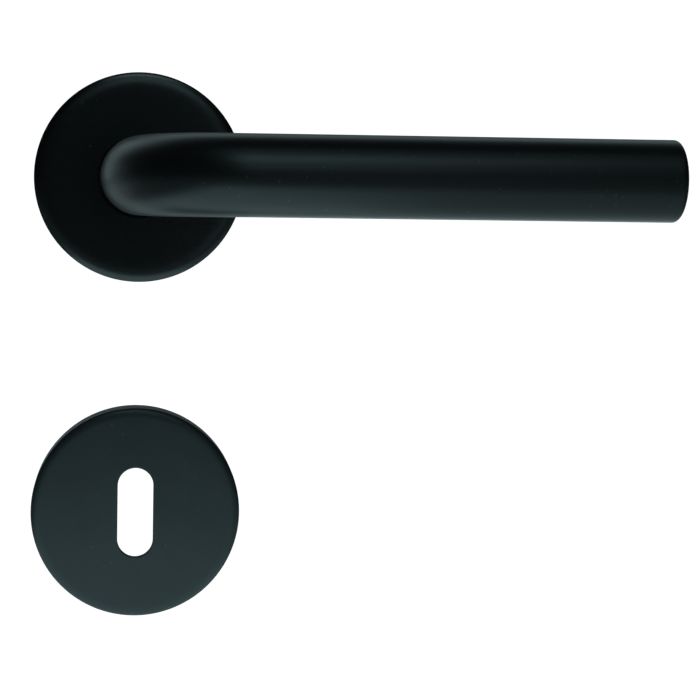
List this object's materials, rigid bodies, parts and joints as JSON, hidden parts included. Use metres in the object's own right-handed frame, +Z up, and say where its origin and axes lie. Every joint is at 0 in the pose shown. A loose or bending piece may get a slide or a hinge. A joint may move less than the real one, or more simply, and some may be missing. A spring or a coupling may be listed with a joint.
{
  "type": "lever handle lockset furniture",
  "caption": "Round-bar return lever on a flat round rose with a matching round keyhole escutcheon, for one face of a door.",
  "frame": {"origin": "the spindle axis where it meets the face of the door", "axes": "+X along the lever towards its free end, +Y into the door, +Z up"},
  "size_m": [0.149, 0.1265, 0.138],
  "materials": {
    "lever_coat": "matt black powder coat",
    "cover_coat": "matt black powder coat",
    "turned_steel": "turned",
    "black_steel": "blackened",
    "zinc_steel": "zinc plated",
    "spring_steel": "oiled spring steel",
    "die_cast": "raw zinc die casting",
    "nylon": "black nylon"
  },
  "bodies": {
    "base": {"rose_base": "die_cast", "bearing_bush": "nylon", "return_spring": "spring_steel", "cassette_plate": "zinc_steel", "cassette_screw_left": "zinc_steel", "cassette_screw_right": "zinc_steel", "rose_bolt_top": "zinc_steel", "rose_bolt_bottom": "zinc_steel", "rose_ring": "spring_steel", "key_base": "die_cast", "key_bolt_left": "zinc_steel", "key_bolt_right": "zinc_steel", "key_ring": "spring_steel"},
    "lever": {"lever_tube": "lever_coat", "end_cap": "lever_coat", "neck_insert": "turned_steel", "grub_screw": "black_steel", "spindle": "zinc_steel", "driver": "die_cast", "thrust_washer": "zinc_steel", "wave_washer": "spring_steel", "circlip": "spring_steel"},
    "rose_cover": {"rose_cover": "cover_coat"},
    "key_cover": {"key_cover": "cover_coat"}
  },
  "joints": [
    {"name": "lever_turn", "type": "hinge", "parent": "base", "child": "lever", "pos_m": [0, 0, 0], "axis": [0, 1, 0], "range_deg": [0, 40], "stiffness_Nm_per_rad": 0.56, "springref_deg": -85.94, "deforming": ["return_spring"]},
    {"name": "rose_cover_slide", "type": "slide", "parent": "base", "child": "rose_cover", "axis": [0, -1, 0], "range_m": [0, 0.02]},
    {"name": "key_cover_slide", "type": "slide", "parent": "base", "child": "key_cover", "axis": [0, -1, 0], "range_m": [0, 0.012]}
  ]
}
